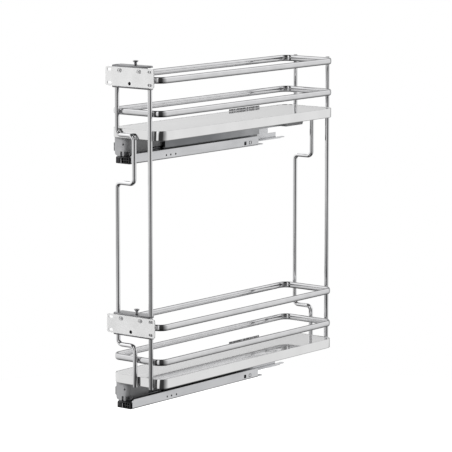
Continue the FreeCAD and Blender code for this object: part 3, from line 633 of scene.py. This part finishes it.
def cap_edge(level):
    """Upright bright line in the middle of the cap, taken for the end of a sheet."""
    cap_low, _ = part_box(level + "_end_cap")
    bm = bmesh.new()
    made = bmesh.ops.create_cube(bm, size=1.0)
    bmesh.ops.scale(bm, vec=CAP_EDGE_SIZE, verts=made["verts"])
    bmesh.ops.translate(bm, vec=cap_low + Vector(CAP_EDGE_PLACE), verts=made["verts"])
    bmesh.ops.bevel(bm, geom=bm.edges[:], offset=CAP_EDGE_ROUND, segments=2, affect="EDGES")
    piece_from(bm, level + "_cap_edge", None, "cabinet_side", bright_zinc)


for level in LEVELS:
    crowned_rail(level + "_low_rail")
    crowned_rail(level + "_top_rail")
    height_screw(level)
    plate_screws(level)
    cap_edge(level)
tray_screws()


# Studio

FLOOR_GLOW = 0.80
FLOOR_DROP = 0.12
FLOOR_RADIUS = 0.75
FLOOR_SIDES = 96
FLOOR_MIDDLE = (0.06, 0.04)
ROOM_LEVEL = 0.85
# Level of the room in reflections, by compass direction and by height, both in degrees
ROUND_THE_ROOM = [(-180, 1.0), (-126, 1.0), (-116, 0.05), (-92, 0.05), (-84, 1.0), (-68, 1.0), (-60, 0.05),
                  (-20, 0.05), (45, 1.0), (64, 1.0), (80, 0.55), (118, 0.55), (134, 1.0), (180, 1.0)]
UP_THE_ROOM = [(-90, 0.05), (-55, 0.05), (-10, 1.0), (10, 1.0), (30, 1.4), (45, 1.4), (60, 0.05), (90, 0.05)]
# Level of the room on matt surfaces
SHADY_SIDE = (0.90, -0.42, -0.05)
SHADE_STARTS = 0.30
SHADE_FULL = 0.90
MATT_BRIGHT = 0.80
MATT_DARK = 0.04
CAMERA_PLACE = (2.6972, -3.2786, 0.8649)
CAMERA_AZIMUTH = math.radians(38.51)
CAMERA_DOWN = math.radians(8.50)
CAMERA_SENSOR = 36.0
CAMERA_LENS = 216.17
CAMERA_REACH = 100.0


def floor_material():
    """Pale floor. To the camera it glows up to white, and it keeps the object's shadow."""
    made, tree, shader = material("floor_paper", Roughness=0.9, Emission_Color=(1, 1, 1, 1))
    tree.links.new(ramp(tree, noise(tree, scale=3.0), low=(0.52, 0.52, 0.52), high=(0.56, 0.56, 0.56)),
                   shader.inputs["Base Color"])
    path = tree.nodes.new("ShaderNodeLightPath")
    glow = calculate(tree, "MULTIPLY", path.outputs["Is Camera Ray"], FLOOR_GLOW)
    tree.links.new(glow, shader.inputs["Emission Strength"])
    return made


def make_floor():
    mesh = bpy.data.meshes.new("floor")
    bm = bmesh.new()
    bmesh.ops.create_circle(bm, cap_ends=True, segments=FLOOR_SIDES, radius=FLOOR_RADIUS)
    bm.to_mesh(mesh)
    bm.free()
    floor = bpy.data.objects.new("floor", mesh)
    floor.location = (*FLOOR_MIDDLE, cad_box[0][2] - FLOOR_DROP)
    floor.visible_glossy = False
    bpy.context.scene.collection.objects.link(floor)
    dress(floor, floor_material())


def level_by_angle(tree, angle, lowest, highest, stops):
    """Grey level along an angle in radians; the stops are in degrees, with straight fades between them."""
    share = spread(tree, angle, low=0.0, high=1.0, start=math.radians(lowest), end=math.radians(highest))
    node = tree.nodes.new("ShaderNodeValToRGB")
    points = node.color_ramp.elements
    while len(points) < len(stops):
        points.new(0.5)
    for point, (degrees, level) in zip(points, stops):
        point.position = (degrees - lowest) / (highest - lowest)
        point.color = (level, level, level, 1)
    tree.links.new(share, node.inputs["Fac"])
    return node.outputs["Color"]


def make_world():
    """White to the camera. In reflections it is a bright band at eye level with dark and grey panels."""
    world = bpy.data.worlds.new("studio")
    bpy.context.scene.world = world
    world.use_nodes = True
    tree = world.node_tree
    background = tree.nodes["Background"]
    coordinates = tree.nodes.new("ShaderNodeTexCoord")
    direction = coordinates.outputs["Generated"]
    parts = tree.nodes.new("ShaderNodeSeparateXYZ")
    tree.links.new(direction, parts.inputs[0])
    compass = calculate(tree, "ARCTAN2", parts.outputs["Y"], parts.outputs["X"])
    height = calculate(tree, "ARCSINE", parts.outputs["Z"])
    mirrored = calculate(tree, "MULTIPLY", level_by_angle(tree, compass, -180, 180, ROUND_THE_ROOM),
                         level_by_angle(tree, height, -90, 90, UP_THE_ROOM))
    mirrored = calculate(tree, "MULTIPLY", mirrored, ROOM_LEVEL)
    matt = spread(tree, agreement(tree, direction, Vector(SHADY_SIDE).normalized()), low=MATT_BRIGHT,
                  high=MATT_DARK, start=SHADE_STARTS, end=SHADE_FULL, interpolation="SMOOTHSTEP")
    path = tree.nodes.new("ShaderNodeLightPath")
    seen = choose(tree, path.outputs["Is Glossy Ray"], no=matt, yes=mirrored)
    shown = choose(tree, path.outputs["Is Camera Ray"], no=seen, yes=1.0)
    tree.links.new(shown, background.inputs["Strength"])
    background.inputs["Color"].default_value = (1, 1, 1, 1)


def area_light(name, place, target, size, power):
    """Soft light on matt surfaces; it doesn't show in reflections."""
    light = bpy.data.lights.new(name, "AREA")
    light.shape = "SQUARE"
    light.size = size
    light.energy = power
    obj = bpy.data.objects.new(name, light)
    obj.location = place
    obj.rotation_euler = (Vector(target) - Vector(place)).to_track_quat("-Z", "Y").to_euler()
    obj.visible_glossy = False
    bpy.context.scene.collection.objects.link(obj)


def make_camera():
    camera = bpy.data.cameras.new("camera")
    camera.sensor_width = CAMERA_SENSOR
    camera.lens = CAMERA_LENS
    camera.clip_end = CAMERA_REACH
    obj = bpy.data.objects.new("camera", camera)
    obj.location = CAMERA_PLACE
    level = math.cos(CAMERA_DOWN)
    forward = Vector((-math.sin(CAMERA_AZIMUTH) * level, math.cos(CAMERA_AZIMUTH) * level,
                      -math.sin(CAMERA_DOWN)))
    obj.rotation_euler = forward.to_track_quat("-Z", "Y").to_euler()
    bpy.context.scene.collection.objects.link(obj)
    bpy.context.scene.camera = obj


make_floor()
make_world()
make_camera()
area_light("key", place=(-1.1, -2.6, 1.5), target=(0.06, 0.0, 0.2), size=1.4, power=58.0)
area_light("top", place=(-0.2, 0.5, 2.6), target=(0.06, 0.04, 0.2), size=1.6, power=12.0)
area_light("side", place=(2.2, 1.9, 0.5), target=(0.06, 0.0, 0.2), size=1.2, power=12.0)
bpy.context.scene.view_settings.view_transform = "Standard"
